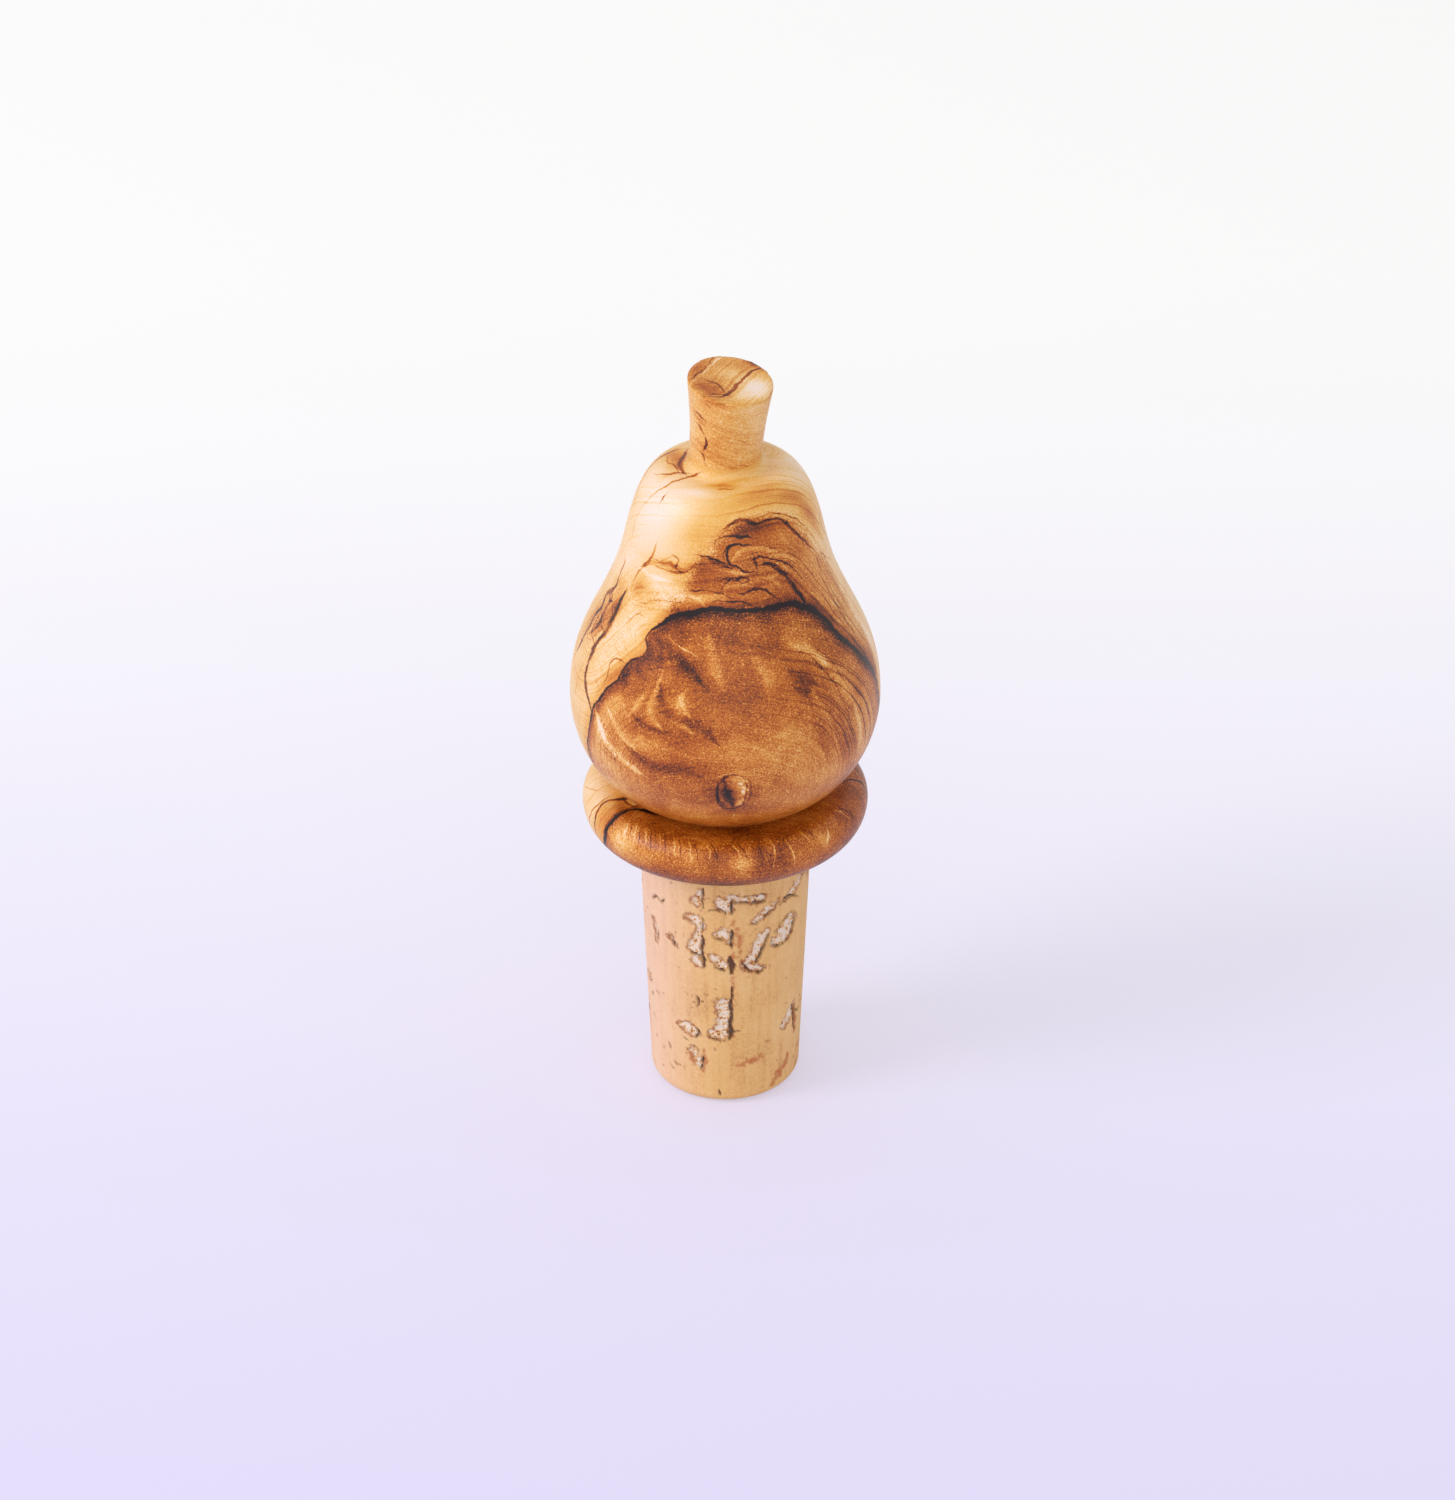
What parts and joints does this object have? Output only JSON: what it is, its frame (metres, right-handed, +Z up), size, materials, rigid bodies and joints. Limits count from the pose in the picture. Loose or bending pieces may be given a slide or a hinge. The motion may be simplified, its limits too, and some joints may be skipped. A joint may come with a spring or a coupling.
{
  "type": "wooden bottle stopper",
  "caption": "Bottle stopper with a turned pear-shaped olive wood handle and collar, glued to a tapered natural cork that seals a bottle's neck.",
  "frame": {"origin": "middle of the flat face of the cork's small end, which the stopper stands on", "axes": "+Z up the turning axis, from the cork to the stalk; the stalk leans towards +X and its cut end also slopes towards -Y, the front"},
  "size_m": [0.0366, 0.0366, 0.0957],
  "materials": {
    "olive_wood": "oiled olive wood, satin, brown heartwood with black lines and golden sapwood",
    "natural_cork": "matte natural cork with open brown-edged pores"
  },
  "bodies": {
    "root": {"turned_handle": "olive_wood", "cork": "natural_cork"}
  },
  "joints": []
}
